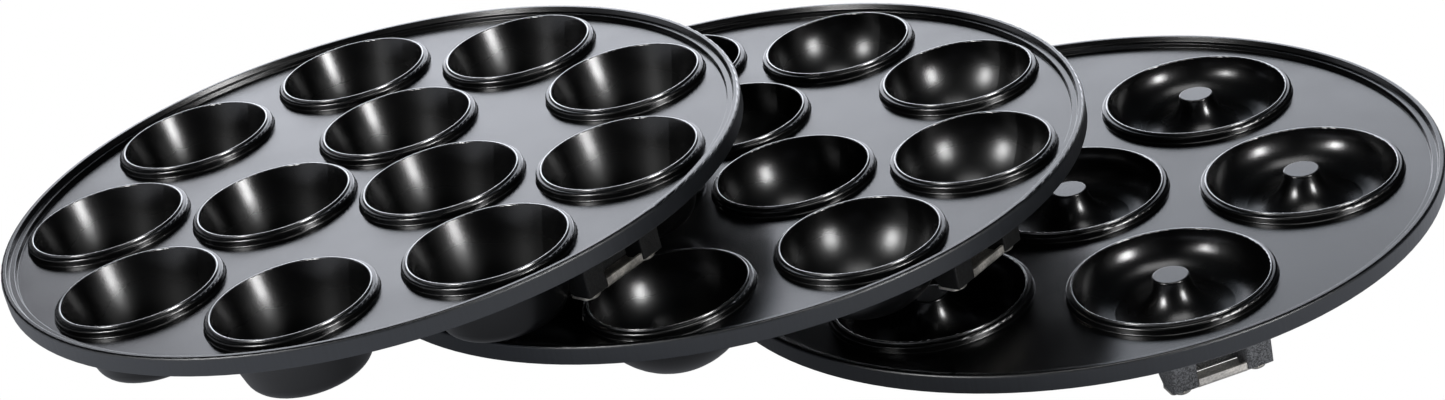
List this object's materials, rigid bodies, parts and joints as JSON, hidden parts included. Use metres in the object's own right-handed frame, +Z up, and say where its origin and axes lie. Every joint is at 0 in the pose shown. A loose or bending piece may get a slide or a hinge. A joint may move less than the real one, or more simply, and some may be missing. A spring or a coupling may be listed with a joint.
{
  "type": "donut maker plate set",
  "caption": "Round cast baking plates for donuts, cake pops and cupcakes, laid out as an overlapping fan, each with a screwed steel latch keeper under its front and tabs at its back.",
  "frame": {"origin": "bottom centre of the box of the whole fan, on the table it stands on", "axes": "+X to the right along the fan from the cupcake plate to the donut plate, +Y to the back, +Z up"},
  "size_m": [0.4223, 0.2402, 0.068],
  "materials": {
    "donut_nonstick": "satin black non-stick coating on cast aluminium",
    "cake_pop_nonstick": "satin black non-stick coating on cast aluminium",
    "cupcake_nonstick": "satin black non-stick coating on cast aluminium",
    "keeper_steel": "nickel plated pressed steel",
    "screw_steel": "nickel plated steel screw"
  },
  "bodies": {
    "cake_pop_plate_assembly": {"cake_pop_front_keeper": "keeper_steel", "cake_pop_front_keeper_screw_left": "screw_steel", "cake_pop_front_keeper_screw_right": "screw_steel", "cake_pop_plate": "cake_pop_nonstick", "cake_pop_rear_tab_left": "keeper_steel", "cake_pop_rear_tab_right": "keeper_steel", "cake_pop_rear_tab_screw_left": "screw_steel", "cake_pop_rear_tab_screw_right": "screw_steel"},
    "cupcake_plate_assembly": {"cupcake_front_keeper": "keeper_steel", "cupcake_front_keeper_screw_left": "screw_steel", "cupcake_front_keeper_screw_right": "screw_steel", "cupcake_plate": "cupcake_nonstick", "cupcake_rear_tab_left": "keeper_steel", "cupcake_rear_tab_right": "keeper_steel", "cupcake_rear_tab_screw_left": "screw_steel", "cupcake_rear_tab_screw_right": "screw_steel"},
    "donut_plate_assembly": {"donut_front_keeper": "keeper_steel", "donut_front_keeper_screw_left": "screw_steel", "donut_front_keeper_screw_right": "screw_steel", "donut_plate": "donut_nonstick", "donut_rear_tab_left": "keeper_steel", "donut_rear_tab_right": "keeper_steel", "donut_rear_tab_screw_left": "screw_steel", "donut_rear_tab_screw_right": "screw_steel"}
  },
  "joints": [
    {"name": "cake_pop_plate_lift", "type": "slide", "parent": "donut_plate_assembly", "child": "cake_pop_plate_assembly", "axis": [0, 0, 1], "range_m": [0, 0.09]},
    {"name": "cupcake_plate_lift", "type": "slide", "parent": "cake_pop_plate_assembly", "child": "cupcake_plate_assembly", "axis": [0, 0, 1], "range_m": [0, 0.09]}
  ]
}
